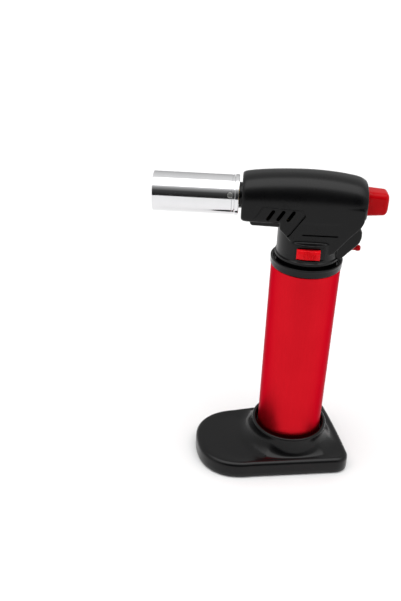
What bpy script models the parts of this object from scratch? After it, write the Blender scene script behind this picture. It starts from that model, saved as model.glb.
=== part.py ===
"""Butane hand torch on a push-on stand, modelled as the pieces it comes apart into.

Lengths are in millimetres and turned into metres where a mesh is made. +X points out of the back of the
head, where the trigger is, the nozzle points along -X, +Z is up, and the origin is on the floor below the
tank's axis.
Heights are drawn from a datum inside the stand, and the whole build is lifted by DATUM at the end.
"""

from math import cos, pi, radians, sin

import bmesh
import bpy
from mathutils import Matrix, Vector

MM = 0.001
GAP = 0.3  # between pieces that touch
DATUM = 2.0  # how far above the floor the drawn heights start

# Stand
STAND_TURN = 13.7  # the stand is turned this far, in degrees, under the head
STAND_HALF = 28.4  # half width where the round front starts
STAND_WIDE = 32.1  # half width at the back
STAND_NOSE = 30.2  # length of the round front
STAND_NOSE_X = -30.0
STAND_BACK = 33.1
STAND_BOW = 0.5
STAND_CORNER = 8.9
STAND_FOOT = -1.0
STAND_TOP = 9.0
SOCKET_TOP = 21.0
SOCKET_LIP = 23.8
SOCKET_BORE = 21.4
SOCKET_FLOOR = 4.0

# Tank
TANK_R = 20.0
TANK_WALL = 1.0
TANK_LOW = SOCKET_FLOOR + GAP
TANK_HIGH = 131.9
COLLAR_R = 20.6
COLLAR_BOTTOM = TANK_HIGH + GAP
COLLAR_TOP = 136.9
RESERVOIR_R = 18.7
RESERVOIR_WALL = 1.3
RESERVOIR_LOW = 10.0
RESERVOIR_HIGH = 128.0

# Head
BARREL_Z = 171.5
BARREL_FRONT = -39.0
HEAD_BACK = 27.8
NECK_R = 17.7
NECK_LIP = 18.5
NECK_BOTTOM = 134.4
SHELL = 2.0
CHEEK = 14.4  # half width of the head's flat sides
SPINE = 8.0  # half width of the spine behind the neck

# Burner
NOZZLE_R = 11.0
NOZZLE_WALL = 0.8
NOZZLE_TIP = -88.0
FLANGE_FRONT = -42.8
FLANGE_BACK = -40.6
FLANGE_R = 11.3
SPIGOT_R = 9.9
SPIGOT_FRONT = -49.5
BURNER_R = 5.0
NOZZLE_SCREW_X = -45.4
NOZZLE_SCREW_ABOVE = 18.0  # degrees above the side of the nozzle

# Ignition
TRIGGER_Z = 171.7
TRIGGER_END = 40.6
TRIGGER_HALF = 6.5
TRIGGER_LIP_X = 22.0
PIEZO_R = 4.5
PIEZO_FRONT = -12.4
PIEZO_BACK = 10.0

# Valve
VALVE_R = 5.0
VALVE_LOW = 118.0
VALVE_HIGH = 146.0
STEM_R = 1.5
LEVER_PIN_X = -7.5
LEVER_PIN_Z = 155.4

# Screws that hold the two halves of the housing: along X, up Z, and how far out the head sits
HOUSING_SCREWS = ((-27.0, 162.0, 9.0), (2.0, 181.6, 6.0), (21.0, 150.5, 5.0))
SCREW_HEAD_R = 2.5
SCREW_SHANK_R = 1.2
BOSS_R = 3.6


# ---------------------------------------------------------------- helpers


def material(name, colour, roughness, metallic=0.0):
    made = bpy.data.materials.new(name)
    made.use_nodes = True
    shader = made.node_tree.nodes["Principled BSDF"]
    shader.inputs["Base Color"].default_value = (*colour, 1.0)
    shader.inputs["Roughness"].default_value = roughness
    shader.inputs["Metallic"].default_value = metallic
    return made


def piece(name, mesh_data, finish, parent=None, at=(0.0, 0.0, 0.0), turn=0.0):
    """An object from (points, faces) in mm, with its origin at a point in mm."""
    points, faces = mesh_data
    origin = Vector(at)
    mesh = bpy.data.meshes.new(name)
    mesh.from_pydata([(Vector(p) - origin) * MM for p in points], [], faces)
    shape = bmesh.new()
    shape.from_mesh(mesh)
    bmesh.ops.remove_doubles(shape, verts=shape.verts, dist=0.00001)
    bmesh.ops.recalc_face_normals(shape, faces=shape.faces)
    shape.to_mesh(mesh)
    shape.free()
    mesh.shade_smooth()
    mesh.set_sharp_from_angle(angle=radians(30))
    mesh.materials.append(finish)
    made = bpy.data.objects.new(name, mesh)
    bpy.context.scene.collection.objects.link(made)
    made.location = origin * MM
    made.rotation_euler = (0.0, 0.0, radians(turn))
    if parent:
        made.parent = parent
        made.location = origin * MM - parent.location
    return made


def guide(name, mesh_data, turn=0.0):
    """A shape that others are cut with. It isn't part of the object."""
    made = piece(name, mesh_data, GUIDE, turn=turn)
    made.hide_render = True
    made.display_type = "WIRE"
    return made


def joint_at(name, at):
    """An empty on a joint's axis, which moving pieces hang from."""
    made = bpy.data.objects.new(name, None)
    made.empty_display_size = 0.01
    made.location = Vector(at) * MM
    bpy.context.scene.collection.objects.link(made)
    return made


def combine(target, cutter, operation="DIFFERENCE"):
    change = target.modifiers.new(cutter.name, "BOOLEAN")
    change.operation = operation
    change.solver = "EXACT"
    change.object = cutter


def skin(rings):
    """Faces between rings of equal length, with the two ends filled."""
    count = len(rings[0])
    points = [p for ring in rings for p in ring]
    faces = []
    for level in range(len(rings) - 1):
        base = level * count
        for i in range(count):
            j = (i + 1) % count
            faces.append((base + i, base + j, base + count + j, base + count + i))
    faces.append(tuple(reversed(range(count))))
    faces.append(tuple(range((len(rings) - 1) * count, len(rings) * count)))
    return points, faces


def turned(profile, steps=32, along="Z", centre=(0.0, 0.0)):
    """A closed profile of (radius, height) turned round an axis parallel to Z, X or Y."""
    points = []
    rows = []
    for radius, height in profile:
        if radius < 1e-6:
            rows.append([len(points)] * steps)
            points.append(oriented(0.0, 0.0, height, along, centre))
            continue
        rows.append(list(range(len(points), len(points) + steps)))
        for i in range(steps):
            angle = 2 * pi * i / steps
            points.append(oriented(radius * cos(angle), radius * sin(angle), height, along, centre))
    faces = []
    for k, row in enumerate(rows):
        following = rows[(k + 1) % len(rows)]
        for i in range(steps):
            j = (i + 1) % steps
            corners = list(dict.fromkeys((row[i], row[j], following[j], following[i])))
            if len(corners) > 2:
                faces.append(tuple(corners))
    return points, faces


def oriented(a, b, height, along, centre):
    """Where a point of a shape lies once its own axis runs along Z, X or Y."""
    if along == "Z":
        return (a + centre[0], b + centre[1], height)
    if along == "X":
        return (height, a + centre[0], b + centre[1])
    return (a + centre[0], height, b + centre[1])


def rod(radius, low, high, steps=16, along="Z", centre=(0.0, 0.0)):
    return turned([(0, low), (radius, low), (radius, high), (0, high)], steps, along, centre)


def tube(inner, outer, low, high, steps=32, along="Z", centre=(0.0, 0.0)):
    profile = [(inner, low), (outer, low), (outer, high), (inner, high)]
    return turned(profile, steps, along, centre)


def prism(outline, low, high, along="Z"):
    """An outline extruded: (x, y) along Z, (y, z) along X or (x, z) along Y."""
    return skin([[oriented(a, b, level, along, (0.0, 0.0)) for a, b in outline] for level in (low, high)])


def box(x0, x1, y0, y1, z0, z1):
    return prism([(x0, y0), (x1, y0), (x1, y1), (x0, y1)], z0, z1)


def arc(cx, cy, radius, start, end, steps):
    angles = [radians(start + (end - start) * i / steps) for i in range(steps + 1)]
    return [(cx + radius * cos(a), cy + radius * sin(a)) for a in angles]


def rounded(cx, cy, half_x, half_y, radius, steps=4):
    """A rectangle with round corners."""
    dx, dy = half_x - radius, half_y - radius
    corners = ((dx, dy, 0), (-dx, dy, 90), (-dx, -dy, 180), (dx, -dy, 270))
    outline = []
    for x, y, start in corners:
        outline += arc(cx + x, cy + y, radius, start, start + 90, steps)
    return outline


def coil(radius, wire, low, high, turns, along="Z", centre=(0.0, 0.0), steps=12, sides=5):
    """A closed helix of round wire, whose ends lie within the two heights."""
    first, last = low + wire, high - wire
    total = turns * steps
    rings = []
    for i in range(total + 1):
        angle = 2 * pi * i / steps
        height = first + (last - first) * i / total
        ring = []
        for s in range(sides):
            turn = 2 * pi * s / sides
            out = radius + wire * cos(turn)
            lift = height + wire * sin(turn)
            ring.append(oriented(out * cos(angle), out * sin(angle), lift, along, centre))
        rings.append(ring)
    return skin(rings)


def bent_tube(name, route, radius, finish, resolution=2):
    """A round wire or pipe along a smooth path through the given points."""
    curve = bpy.data.curves.new(name, "CURVE")
    curve.dimensions = "3D"
    curve.bevel_depth = radius * MM
    curve.bevel_resolution = resolution
    curve.use_fill_caps = True
    spline = curve.splines.new("POLY")
    path = smooth_path(route)
    spline.points.add(len(path) - 1)
    for point, place in zip(spline.points, path):
        point.co = (*(place * MM), 1.0)
    curve.materials.append(finish)
    made = bpy.data.objects.new(name, curve)
    bpy.context.scene.collection.objects.link(made)
    return made


def smooth_path(route, steps=4):
    """Points of a Catmull-Rom curve through the route."""
    knots = [Vector(p) for p in route]
    knots = [2 * knots[0] - knots[1], *knots, 2 * knots[-1] - knots[-2]]
    path = []
    for i in range(1, len(knots) - 2):
        a, b, c, d = knots[i - 1 : i + 3]
        for s in range(steps):
            t = s / steps
            curve = 2 * b + (c - a) * t + (2 * a - 5 * b + 4 * c - d) * t**2
            curve += (3 * b - a - 3 * c + d) * t**3
            path.append(0.5 * curve)
    path.append(knots[-2])
    return path


# ---------------------------------------------------------------- stand


def stand_outline(inset=0.0):
    """The plate: a full round front, sides that spread towards the back and a slightly bowed back edge."""
    half, wide, reach = STAND_HALF - inset, STAND_WIDE - inset, STAND_NOSE - inset
    corner = max(STAND_CORNER - inset, 1.5)
    back = STAND_BACK - inset
    outline = []
    for i in range(25):
        angle = radians(90 + 7.5 * i)
        c, s = cos(angle), sin(angle)
        across = half * abs(s) ** 0.855 * (1 if s > 0 else -1)
        outline.append((STAND_NOSE_X - reach * abs(c) ** 0.855, across))
    outline += arc(back - corner, corner - wide, corner, -90, 0, 5)
    outline.append((back + STAND_BOW, 0.0))
    outline += arc(back - corner, wide - corner, corner, 0, 90, 5)
    return outline


def at_height(outline, z):
    return [(x, y, z) for x, y in outline]


def make_stand():
    rings = [at_height(stand_outline(), STAND_FOOT), at_height(stand_outline(), STAND_TOP - 3.2)]
    for step in (30, 60, 90):
        angle = radians(step)
        rings.append(at_height(stand_outline(3 * (1 - cos(angle))), STAND_TOP - 3 + 3 * sin(angle)))
    stand = piece("base_stand", skin(rings), BLACK_SATIN, turn=STAND_TURN)
    flare = arc(35.0, 19.9, 10.9, 268, 186, 6)
    socket = [(0, STAND_TOP - 4), (33.0, STAND_TOP - 4), (33.0, STAND_TOP), *flare]
    socket += [(SOCKET_LIP, SOCKET_TOP - 0.8), (SOCKET_LIP - 0.8, SOCKET_TOP), (0, SOCKET_TOP)]
    tower = guide("socket_tower", turned(socket, 48))
    trim = guide("socket_trim", prism(stand_outline(3.1), STAND_TOP - 3.5, SOCKET_TOP + 1), STAND_TURN)
    combine(tower, trim, "INTERSECT")
    combine(stand, tower, "UNION")
    combine(stand, guide("socket_bore", rod(SOCKET_BORE, SOCKET_FLOOR, SOCKET_TOP + 1, 48)))
    pocket = prism(stand_outline(4.0), STAND_FOOT - 1, STAND_FOOT + 1.0)
    combine(stand, guide("pad_pocket", pocket, STAND_TURN))
    piece("base_pad", prism(stand_outline(4.4), STAND_FOOT - 1, STAND_FOOT + 0.7), RUBBER, turn=STAND_TURN)


def make_socket_ring():
    swivel = joint_at("swivel_axis", (0, 0, 0))
    ring = tube(TANK_R + GAP, SOCKET_BORE - GAP, 9.0, 15.0, 40)
    piece("socket_ring", ring, RUBBER, swivel)


# ---------------------------------------------------------------- tank


def make_tank():
    sleeve = tube(TANK_R - TANK_WALL, TANK_R, TANK_LOW, TANK_HIGH, 48)
    piece("tank_sleeve", sleeve, RED_METAL)
    cap = tube(4.4, RESERVOIR_R, TANK_LOW + 0.4, RESERVOIR_LOW - GAP, 32)
    piece("bottom_cap", cap, BLACK_SATIN)
    inner = RESERVOIR_R - RESERVOIR_WALL
    low, high = RESERVOIR_LOW, RESERVOIR_HIGH
    reservoir = [(4.4, low), (RESERVOIR_R, low), (RESERVOIR_R, high), (VALVE_R + GAP, high)]
    reservoir += [(VALVE_R + GAP, high - 2), (inner, high - 2), (inner, low + 2), (4.4, low + 2)]
    piece("fuel_tank", turned(reservoir, 32), CLEAR_PLASTIC)
    collar = [(VALVE_R + GAP, COLLAR_BOTTOM), (COLLAR_R - 0.2, COLLAR_BOTTOM)]
    collar += [(COLLAR_R, COLLAR_BOTTOM + 0.6), (COLLAR_R, COLLAR_TOP - 0.6)]
    collar += [(COLLAR_R - 0.5, COLLAR_TOP), (19.0, COLLAR_TOP)]
    collar += [(19.0, COLLAR_BOTTOM + 1.6), (VALVE_R + GAP, COLLAR_BOTTOM + 1.6)]
    piece("collar_ring", turned(collar, 48), BLACK_GLOSS)
    piece("filter_wick", rod(3.0, VALVE_LOW - 14, VALVE_LOW - GAP, 12), FELT)


def make_fill_valve():
    body = [(2.1, 5.6), (4.0, 5.6), (4.0, 20.0), (1.6, 20.0)]
    body += [(1.6, 17.0), (2.9, 17.0), (2.9, 8.6), (2.1, 8.6)]
    piece("fill_valve_body", turned(body, 20), BRASS)
    lift = joint_at("fill_stem_axis", (0, 0, 5))
    stem = [(0, 4.9), (1.3, 4.9), (1.3, 9.6), (2.5, 9.6), (2.5, 10.8), (0, 10.8)]
    piece("fill_stem", turned(stem, 16), BRASS, lift)
    piece("fill_spring", coil(2.1, 0.3, 11.1, 16.7, 5), STEEL)
    piece("fill_seal", tube(1.6, 2.6, 8.9, 9.3, 16), RUBBER)


# ---------------------------------------------------------------- gas valve


def make_gas_valve():
    bore = STEM_R + GAP
    body = [(bore, VALVE_LOW), (4.2, VALVE_LOW), (VALVE_R, VALVE_LOW + 0.8)]
    body += [(VALVE_R, VALVE_HIGH), (bore, VALVE_HIGH)]
    piece("gas_valve_body", turned(body, 24), BRASS)
    hexagon = tube(VALVE_R + GAP, 8.6, RESERVOIR_HIGH + GAP, RESERVOIR_HIGH + 3.0, 6)
    nut = piece("valve_nut", hexagon, BRASS)
    combine(nut, guide("nut_bore", rod(VALVE_R + GAP + 0.05, RESERVOIR_HIGH - 1, RESERVOIR_HIGH + 5, 24)))
    piece("valve_plate", tube(VALVE_R + GAP, 15.3, 134.5, 136.5, 32), BLACK_SATIN)
    lift = joint_at("valve_stem_axis", (0, 0, VALVE_HIGH))
    stem = [(0, 135.0), (STEM_R, 135.0), (STEM_R, 151.9)]
    stem += [(3.3, 151.9), (3.3, 153.2), (1.8, 153.5), (0, 153.5)]
    piece("valve_stem", turned(stem, 16), BRASS, lift)
    piece("valve_spring", coil(2.6, 0.4, VALVE_HIGH + GAP, 151.6, 4), STEEL)


def make_flow_lever():
    """The gas flow lever turns round the valve, and its tip stands out of a slot behind the neck."""
    axis = joint_at("flow_lever_axis", (0, 0, 143.5))
    lever = piece("flow_lever", tube(VALVE_R + GAP, 7.0, 142.4, 144.6, 24), RED_GLOSS, axis, (0, 0, 143.5))
    arm = [(6.0, -1.6), (28.0, -1.2), (28.0, 1.2), (6.0, 1.6)]
    combine(lever, guide("flow_arm", prism(arm, 142.5, 144.5)), "UNION")
    tip = prism(rounded(28.1, 0, 1.7, 1.7, 1.2, 4), 142.0, 145.0)
    combine(lever, guide("flow_tip", tip), "UNION")


def make_valve_lever():
    axis = joint_at("valve_lever_axis", (LEVER_PIN_X, 0, LEVER_PIN_Z))
    outline = [(-9.8, 153.9), (2.5, 153.9), (16.8, 158.3), (17.5, 159.2), (16.5, 160.3), (15.2, 160.0)]
    outline += [(1.5, 156.9), (-9.8, 156.9)]
    lever = prism(outline, -1.5, 1.5, "Y")
    made = piece("valve_lever", lever, STEEL, axis, (LEVER_PIN_X, 0, LEVER_PIN_Z))
    eye = rod(1.1, -3, 3, 12, "Y", (LEVER_PIN_X, LEVER_PIN_Z))
    combine(made, guide("lever_eye", eye))
    piece("lever_pin", rod(0.8, -8.4, 8.4, 12, "Y", (LEVER_PIN_X, LEVER_PIN_Z)), STEEL)
    bracket = piece("lever_bracket", box(-11.0, -5.4, -8.4, 8.4, 136.8, 138.0), STEEL)
    for side in (-1, 1):
        near, far = sorted((side * 7.2, side * 8.3))
        combine(bracket, guide(f"bracket_cheek_{side}", box(-10.9, -4.4, near, far, 136.9, 157.4)), "UNION")
        pin_hole = rod(1.1, near - 0.5, far + 0.5, 12, "Y", (LEVER_PIN_X, LEVER_PIN_Z))
        combine(bracket, guide(f"pin_hole_{side}", pin_hole))


def make_gas_tube():
    route = [(-5.4, 0, 139.6), (-9.3, 0, 140.0), (-12.4, 0, 144.0), (-13.1, 0, 152.0), (-13.2, 0, 160.0)]
    route += [(-14.2, 0, 167.0), (-16.4, 0, 170.8), (-19.4, 0, BARREL_Z)]
    bent_tube("gas_tube", route, 1.0, BRASS)


# ---------------------------------------------------------------- burner


def along_nozzle(profile, steps=32):
    return turned(profile, steps, "X", (0.0, BARREL_Z))


def make_burner():
    jet = [(0.5, -24.2), (2.4, -24.2), (3.2, -23.4), (3.2, -19.7), (0.5, -19.7)]
    piece("gas_jet", along_nozzle(jet, 16), BRASS)
    pipe = [(4.2, -60.0), (BURNER_R, -60.0), (BURNER_R, -24.6), (4.2, -24.6)]
    mixing = piece("burner_tube", along_nozzle(pipe, 24), BRASS)
    combine(mixing, guide("air_holes", box(-30.5, -28.0, -6, 6, BARREL_Z - 1.3, BARREL_Z + 1.3)))
    head = [(5.3, -64.5), (8.6, -66.0), (9.2, -65.2), (6.3, -57.0), (5.3, -57.0)]
    piece("burner_head", along_nozzle(head, 24), STEEL)
    piece("electrode", along_nozzle([(0, -63.0), (0.5, -62.5), (0.5, -33.0), (0, -33.0)], 8), STEEL)
    sleeve = [(0.8, -56.0), (1.7, -56.0), (1.7, -35.0), (0.8, -35.0)]
    piece("electrode_sleeve", along_nozzle(sleeve, 12), CERAMIC)
    lead = [(-13.0, 0, 174.2), (-16.5, 0, 176.8), (-21.5, 0, 178.4), (-26.0, 0, 178.7), (-30.0, 0, 177.7)]
    bent_tube("ignition_lead", lead, 0.7, RUBBER)


def make_nozzle():
    bore = BURNER_R + GAP
    boss = [(bore, -40.3), (6.9, -40.3), (6.9, -35.0), (8.4, -35.0), (8.4, -33.5), (bore, -33.5)]
    piece("nozzle_boss", along_nozzle(boss, 24), BLACK_GLOSS)
    flange = [(bore, SPIGOT_FRONT), (SPIGOT_R, SPIGOT_FRONT), (SPIGOT_R, FLANGE_FRONT)]
    flange += [(FLANGE_R - 0.3, FLANGE_FRONT), (FLANGE_R, FLANGE_FRONT + 0.3)]
    flange += [(FLANGE_R, FLANGE_BACK - 0.3), (FLANGE_R - 0.3, FLANGE_BACK), (bore, FLANGE_BACK)]
    ring = piece("nozzle_flange", along_nozzle(flange, 40), CHROME)
    inner = NOZZLE_R - NOZZLE_WALL
    end = FLANGE_FRONT - GAP
    sleeve = [(inner, NOZZLE_TIP), (NOZZLE_R, NOZZLE_TIP), (NOZZLE_R, end), (inner, end)]
    shield = piece("nozzle_tube", along_nozzle(sleeve, 40), CHROME)
    for number in range(3):
        angle = 180.0 - NOZZLE_SCREW_ABOVE + 120.0 * number
        place = Matrix.Translation((NOZZLE_SCREW_X, 0, BARREL_Z)) @ Matrix.Rotation(radians(angle), 4, "X")
        screw = turned([(0, 6.9), (0.9, 6.9), (0.9, 10.2), (1.5, 10.2), (1.5, 11.1), (0, 11.1)], 12, "Y")
        piece(f"nozzle_screw_{number + 1}", moved(screw, place), STEEL)
        hole = rod(1.85, 10.0, 12.5, 16, "Y")
        combine(shield, guide(f"tube_hole_{number}", moved(hole, place)))
        combine(ring, guide(f"spigot_hole_{number}", moved(rod(1.2, 6.5, 12.5, 12, "Y"), place)))


def moved(mesh_data, matrix):
    points, faces = mesh_data
    return [matrix @ Vector(p) for p in points], faces


# ---------------------------------------------------------------- housing


def barrel_ring(x, top, bottom, half, power=2.3):
    """One cross-section of the barrel: an oval arch on straight sides, with small corners below."""
    rise = top - BARREL_Z
    ring = []
    for i in range(15):
        angle = pi * i / 14
        c, s = cos(angle), sin(angle)
        across = half * abs(c) ** (2 / power) * (1 if c > 0 else -1)
        ring.append((x, across, BARREL_Z + rise * abs(s) ** (2 / power)))
    corner = 2.5
    for side, start in ((-1, 180), (1, 270)):
        for y, z in arc(side * (half - corner), bottom + corner, corner, start, start + 90, 3):
            ring.append((x, y, z))
    return ring


# Along X: the barrel's top, its bottom and its half width
BARREL_SECTIONS = (
    (BARREL_FRONT, 183.2, 162.2, 12.4),
    (BARREL_FRONT + 1.5, 184.5, 161.0, 13.6),
    (-28.0, 186.0, 160.9, 14.1),
    (-15.0, 187.0, 160.8, 14.3),
    (-2.0, 187.4, 160.5, 14.6),
    (11.0, 186.7, 160.6, 14.6),
    (20.7, 185.4, 161.4, 14.2),
    (25.4, 184.0, 163.4, 14.0),
    (27.0, 182.4, 164.8, 13.2),
    (HEAD_BACK, 180.8, 166.2, 11.8),
)


def barrel(shrink=0.0):
    """The barrel, or the room inside it when shrunk by the shell's thickness."""
    rings = []
    for x, top, bottom, half in BARREL_SECTIONS:
        rings.append(barrel_ring(x, top - shrink, bottom + shrink, half - shrink))
    if shrink:
        rings = rings[1:-2]
        rings[0] = [(BARREL_FRONT + shrink, y, z) for _, y, z in rings[0]]
        rings.append([(HEAD_BACK - shrink, y, z) for _, y, z in rings[-1]])
    return skin(rings)


def cheek_outline(shrink=0.0):
    """The flat sides that join the barrel to the neck."""
    s = shrink
    return [
        (-17.6 + s, 170.0), (-17.6 + s, 158.2), (-12.8 + s, 153.2), (-10.4 + s, 151.0), (-10.4 + s, 148.6),
        (13.6 - s * 0.4, 148.6), (26.2 - s * 0.9, 161.2 + s * 0.4), (27.6 - s, 164.4), (27.6 - s, 170.0),
    ]


def spine_outline(shrink=0.0):
    s = shrink
    return [
        (2.0, 168.0), (27.5 - s, 168.0), (27.5 - s, 157.6), (28.4 - s, 155.8), (28.5 - s, 152.4),
        (27.9 - s, 149.6), (26.0 - s, 147.2 + s * 0.4), (18.6 - s, 139.4 + s * 0.9),
        (15.8 - s, 137.3 + s * 0.8), (2.0, 137.3 + s * 0.8),
    ]


def neck_profile():
    return [
        (0, NECK_BOTTOM), (17.2, NECK_BOTTOM), (17.2, 138.5), (NECK_LIP, 138.9), (NECK_LIP, 139.8),
        (NECK_R, 140.4), (NECK_R, 151.2), (17.0, 151.8), (13.0, 152.2), (0, 152.2),
    ]


def neck_front(radius, flat, low, high):
    """The round neck above its step, cut flat where the head's flat sides cover it."""
    steps = 32
    circle = [(radius * cos(2 * pi * i / steps), radius * sin(2 * pi * i / steps)) for i in range(steps)]
    return prism([(x, max(-flat, min(flat, y))) for x, y in circle], low, high)


def make_housing_guides():
    """The outside of the head, the room inside it, and everything that is cut through its walls."""
    outside = guide("head_outside", barrel())
    solids = {
        "head_cheeks": prism(cheek_outline(), -CHEEK, CHEEK, "Y"),
        "head_spine": prism(spine_outline(), -SPINE, SPINE, "Y"),
        "head_neck": turned(neck_profile(), 40),
        "head_neck_front": neck_front(NECK_R - 0.1, CHEEK - 0.25, 149.9, 158.8),
        "head_chin": prism(rounded(-25.6, 161.2, 8.3, 3.3, 1.2, 2), -10.5, 10.5, "Y"),
    }
    for name, shape in solids.items():
        combine(outside, guide(name, shape), "UNION")
    inside = guide("head_inside", barrel(SHELL))
    rooms = {
        "room_cheeks": prism(cheek_outline(SHELL), -CHEEK + SHELL, CHEEK - SHELL, "Y"),
        "room_spine": prism(spine_outline(SHELL), -SPINE + SHELL, SPINE - SHELL, "Y"),
        "room_neck": rod(15.7, NECK_BOTTOM - 1, 149.8, 40),
        "room_neck_front": neck_front(15.6, CHEEK - SHELL - 0.15, 149.0, 157.9),
    }
    for name, shape in rooms.items():
        combine(inside, guide(name, shape), "UNION")
    kept = {
        "rib_front": box(-11.6, -10.1, -16, 16, 165.0, 190.0),
        "rib_back": box(-3.6, -2.1, -16, 16, 165.0, 190.0),
        "switch_wall": box(-13.5, 11.5, -19.0, -13.2, 139.6, 153.0),
    }
    for number, (x, z, _) in enumerate(HOUSING_SCREWS):
        kept[f"boss_{number}"] = rod(BOSS_R, -20, 20, 16, "Y", (x, z))
    for name, shape in kept.items():
        combine(inside, guide(name, shape))
    return outside, inside


def housing_cuts():
    """Openings through both halves, by name."""
    trigger_gap = rounded(0, TRIGGER_Z, TRIGGER_HALF + GAP, 7.7, 2.0, 3)
    cuts = {
        "nozzle_bore": rod(7.2, -45, -36, 24, "X", (0.0, BARREL_Z)),
        "trigger_bore": prism(trigger_gap, 20, 35, "X"),
        "piezo_bore": rod(PIEZO_R + GAP, -12.0, PIEZO_BACK, 24, "X", (0.0, TRIGGER_Z)),
        "lever_slot": box(18.0, 32.0, -6.2, 6.2, 141.8, 145.2),
    }
    for number, (x, z, seat) in enumerate(HOUSING_SCREWS):
        cuts[f"screw_bore_{number}"] = rod(SCREW_SHANK_R + GAP, -seat, 20, 12, "Y", (x, z))
        cuts[f"screw_seat_{number}"] = rod(SCREW_HEAD_R + GAP, seat, 20, 16, "Y", (x, z))
    for number in range(3):
        cuts[f"vent_{number}"] = vent_cut(-22.6 + 5.5 * number)
    switch_room = prism(rounded(-1.4, 146.1, 10.4, 4.6, 1.8, 3), -22.0, -15.6, "Y")
    cuts["switch_recess"] = switch_room
    cuts["switch_slot"] = box(-7.1, 1.5, -18.0, -12.0, 143.8, 147.6)
    return cuts


def vent_cut(top_x):
    """A slanted air slot, open on both sides of the head."""
    lean, width, top, bottom = 2.9, 1.9, 168.6, 163.4
    slot = [(top_x, top), (top_x - lean, bottom), (top_x - lean + width, bottom), (top_x + width, top)]
    return prism(slot, -20, 20, "Y")


def make_housing():
    outside, inside = make_housing_guides()
    cutters = [guide(name, shape) for name, shape in housing_cuts().items()]
    half_spaces = {
        "housing_left": box(-60, 60, GAP / 2, 30, 120, 200),
        "housing_right": box(-60, 60, -30, -GAP / 2, 120, 200),
    }
    for name, half_space in half_spaces.items():
        shell = piece(name, half_space, BLACK_SATIN)
        combine(shell, outside, "INTERSECT")
        combine(shell, inside)
        for cutter in cutters:
            combine(shell, cutter)
    for number, (x, z, seat) in enumerate(HOUSING_SCREWS):
        reach = seat + GAP
        profile = [(0, -seat + 0.6), (SCREW_SHANK_R, -seat + 0.6), (SCREW_SHANK_R, reach)]
        profile += [(SCREW_HEAD_R, reach), (SCREW_HEAD_R, reach + 1.4), (0, reach + 1.4)]
        piece(f"housing_screw_{number + 1}", turned(profile, 12, "Y", (x, z)), STEEL)


def make_safety():
    slide = joint_at("safety_axis", (-0.8, -17.0, 145.7))
    cap = rounded(-0.8, 145.2, 6.45, 2.75, 0.8, 2)
    button = piece("safety_slide", prism(cap, -18.6, -15.9, "Y"), RED_GLOSS, slide, (-0.8, -17.0, 145.7))
    combine(button, guide("slide_foot", box(-2.8, 1.2, -17.0, -12.6, 144.1, 147.3)), "UNION")
    latch = piece("safety_latch", box(-4.4, 3.9, -12.9, -11.7, 141.5, 149.5), BLACK_SATIN, slide)
    combine(latch, guide("latch_eye", box(-3.1, 1.5, -14.0, -10.0, 143.8, 147.6)))


# ---------------------------------------------------------------- trigger


def make_trigger():
    slide = joint_at("trigger_axis", (TRIGGER_LIP_X, 0, TRIGGER_Z))
    sections = ((25.5, 7.3, 6.5), (37.7, 6.3, 6.3), (39.7, 5.8, 5.9), (TRIGGER_END, 4.7, 4.9))
    rings = []
    for x, half_z, half_y in sections:
        rings.append([(x, y, z) for y, z in rounded(0, TRIGGER_Z, half_y, half_z, 2.6, 4)])
    rings.insert(0, [(TRIGGER_LIP_X + 1, y, z) for _, y, z in rings[0]])
    button = piece("trigger_button", skin(rings), RED_GLOSS, slide, (TRIGGER_LIP_X, 0, TRIGGER_Z))
    lip = prism(rounded(0, TRIGGER_Z, 8.2, 8.9, 1.5, 2), TRIGGER_LIP_X, TRIGGER_LIP_X + 2, "X")
    combine(button, guide("trigger_lip", lip), "UNION")
    ramp = [(14.0, 164.4), (14.0, 162.0), (20.5, 159.3), (23.9, 159.3), (23.9, 164.4)]
    combine(button, guide("trigger_ramp", prism(ramp, -3.0, 3.0, "Y")), "UNION")
    plunger = rod(3.0, -1.0, TRIGGER_LIP_X - GAP, 16, "X", (0.0, TRIGGER_Z))
    piece("piezo_plunger", plunger, BLACK_SATIN, slide)
    spring = coil(5.4, 0.45, 8.5, TRIGGER_LIP_X - GAP, 5, "X", (0.0, TRIGGER_Z))
    piece("trigger_spring", spring, STEEL, slide)
    case = [(0, PIEZO_FRONT), (PIEZO_R, PIEZO_FRONT), (PIEZO_R, PIEZO_BACK)]
    case += [(3.3, PIEZO_BACK), (3.3, -8.0), (0, -8.0)]
    piece("piezo_case", turned(case, 24, "X", (0.0, TRIGGER_Z)), BLACK_SATIN)


# ---------------------------------------------------------------- build

for old in list(bpy.data.objects):
    bpy.data.objects.remove(old)

GUIDE = material("guide", (0.2, 0.4, 0.9), 0.8)
BLACK_SATIN = material("black_satin_plastic", (0.014, 0.014, 0.015), 0.42)
BLACK_GLOSS = material("black_gloss_plastic", (0.010, 0.010, 0.011), 0.18)
RED_METAL = material("red_anodised_aluminium", (0.62, 0.012, 0.02), 0.34, 1.0)
RED_GLOSS = material("red_gloss_plastic", (0.70, 0.012, 0.015), 0.16)
CHROME = material("polished_chrome", (0.82, 0.82, 0.83), 0.06, 1.0)
STEEL = material("zinc_plated_steel", (0.60, 0.60, 0.58), 0.32, 1.0)
BRASS = material("turned_brass", (0.72, 0.52, 0.22), 0.30, 1.0)
RUBBER = material("black_rubber", (0.02, 0.02, 0.02), 0.80)
CLEAR_PLASTIC = material("cloudy_nylon", (0.72, 0.72, 0.68), 0.40)
CERAMIC = material("white_ceramic", (0.86, 0.85, 0.80), 0.35)
FELT = material("felt_wick", (0.70, 0.68, 0.60), 0.95)

make_stand()
make_socket_ring()
make_tank()
make_fill_valve()
make_gas_valve()
make_flow_lever()
make_valve_lever()
make_gas_tube()
make_burner()
make_nozzle()
make_housing()
make_safety()
make_trigger()

for made in bpy.context.scene.objects:
    if made.parent is None:
        made.location.z += DATUM * MM
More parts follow.
